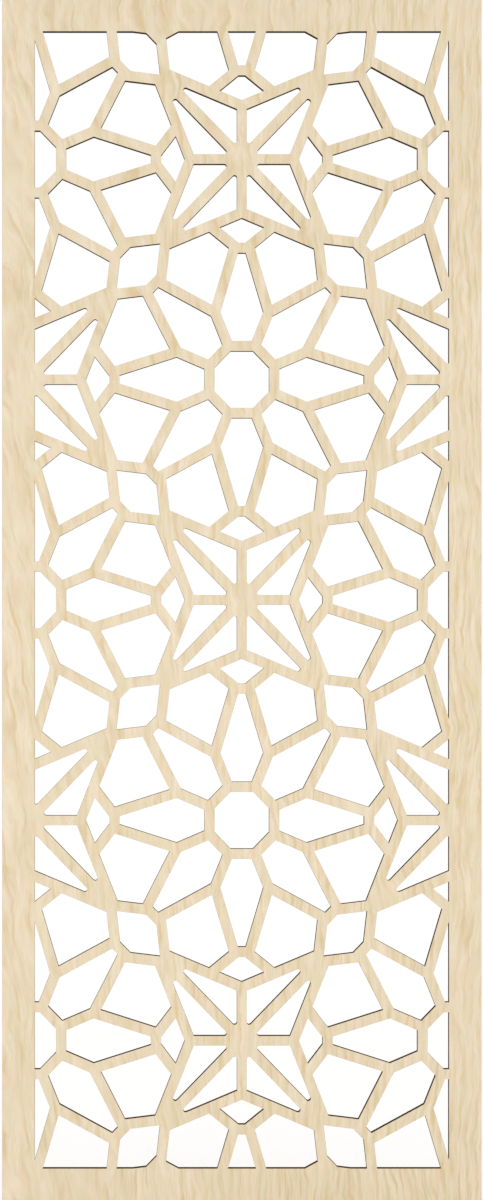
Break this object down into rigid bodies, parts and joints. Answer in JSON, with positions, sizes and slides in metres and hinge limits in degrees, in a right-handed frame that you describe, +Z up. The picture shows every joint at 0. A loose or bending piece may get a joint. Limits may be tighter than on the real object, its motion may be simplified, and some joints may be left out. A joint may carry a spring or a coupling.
{
  "type": "fretwork wood panel",
  "caption": "Tall flat birch plywood panel cut through with a star and rosette lattice inside a plain rim, for a wall, a screen or a room divider.",
  "frame": {"origin": "middle of the panel's back face, on the hub of the middle star", "axes": "+X to the right seen from the front, +Y out of the back face, so the show face looks along -Y, +Z up the long side"},
  "size_m": [0.5936, 0.0063, 1.489],
  "materials": {
    "face_birch": "matte",
    "crossband_birch": "matte",
    "core_birch": "matte",
    "back_birch": "matte"
  },
  "bodies": {
    "root": {"face_veneer": "face_birch", "front_crossband": "crossband_birch", "core_veneer": "core_birch", "back_crossband": "crossband_birch", "back_veneer": "back_birch"}
  },
  "joints": []
}
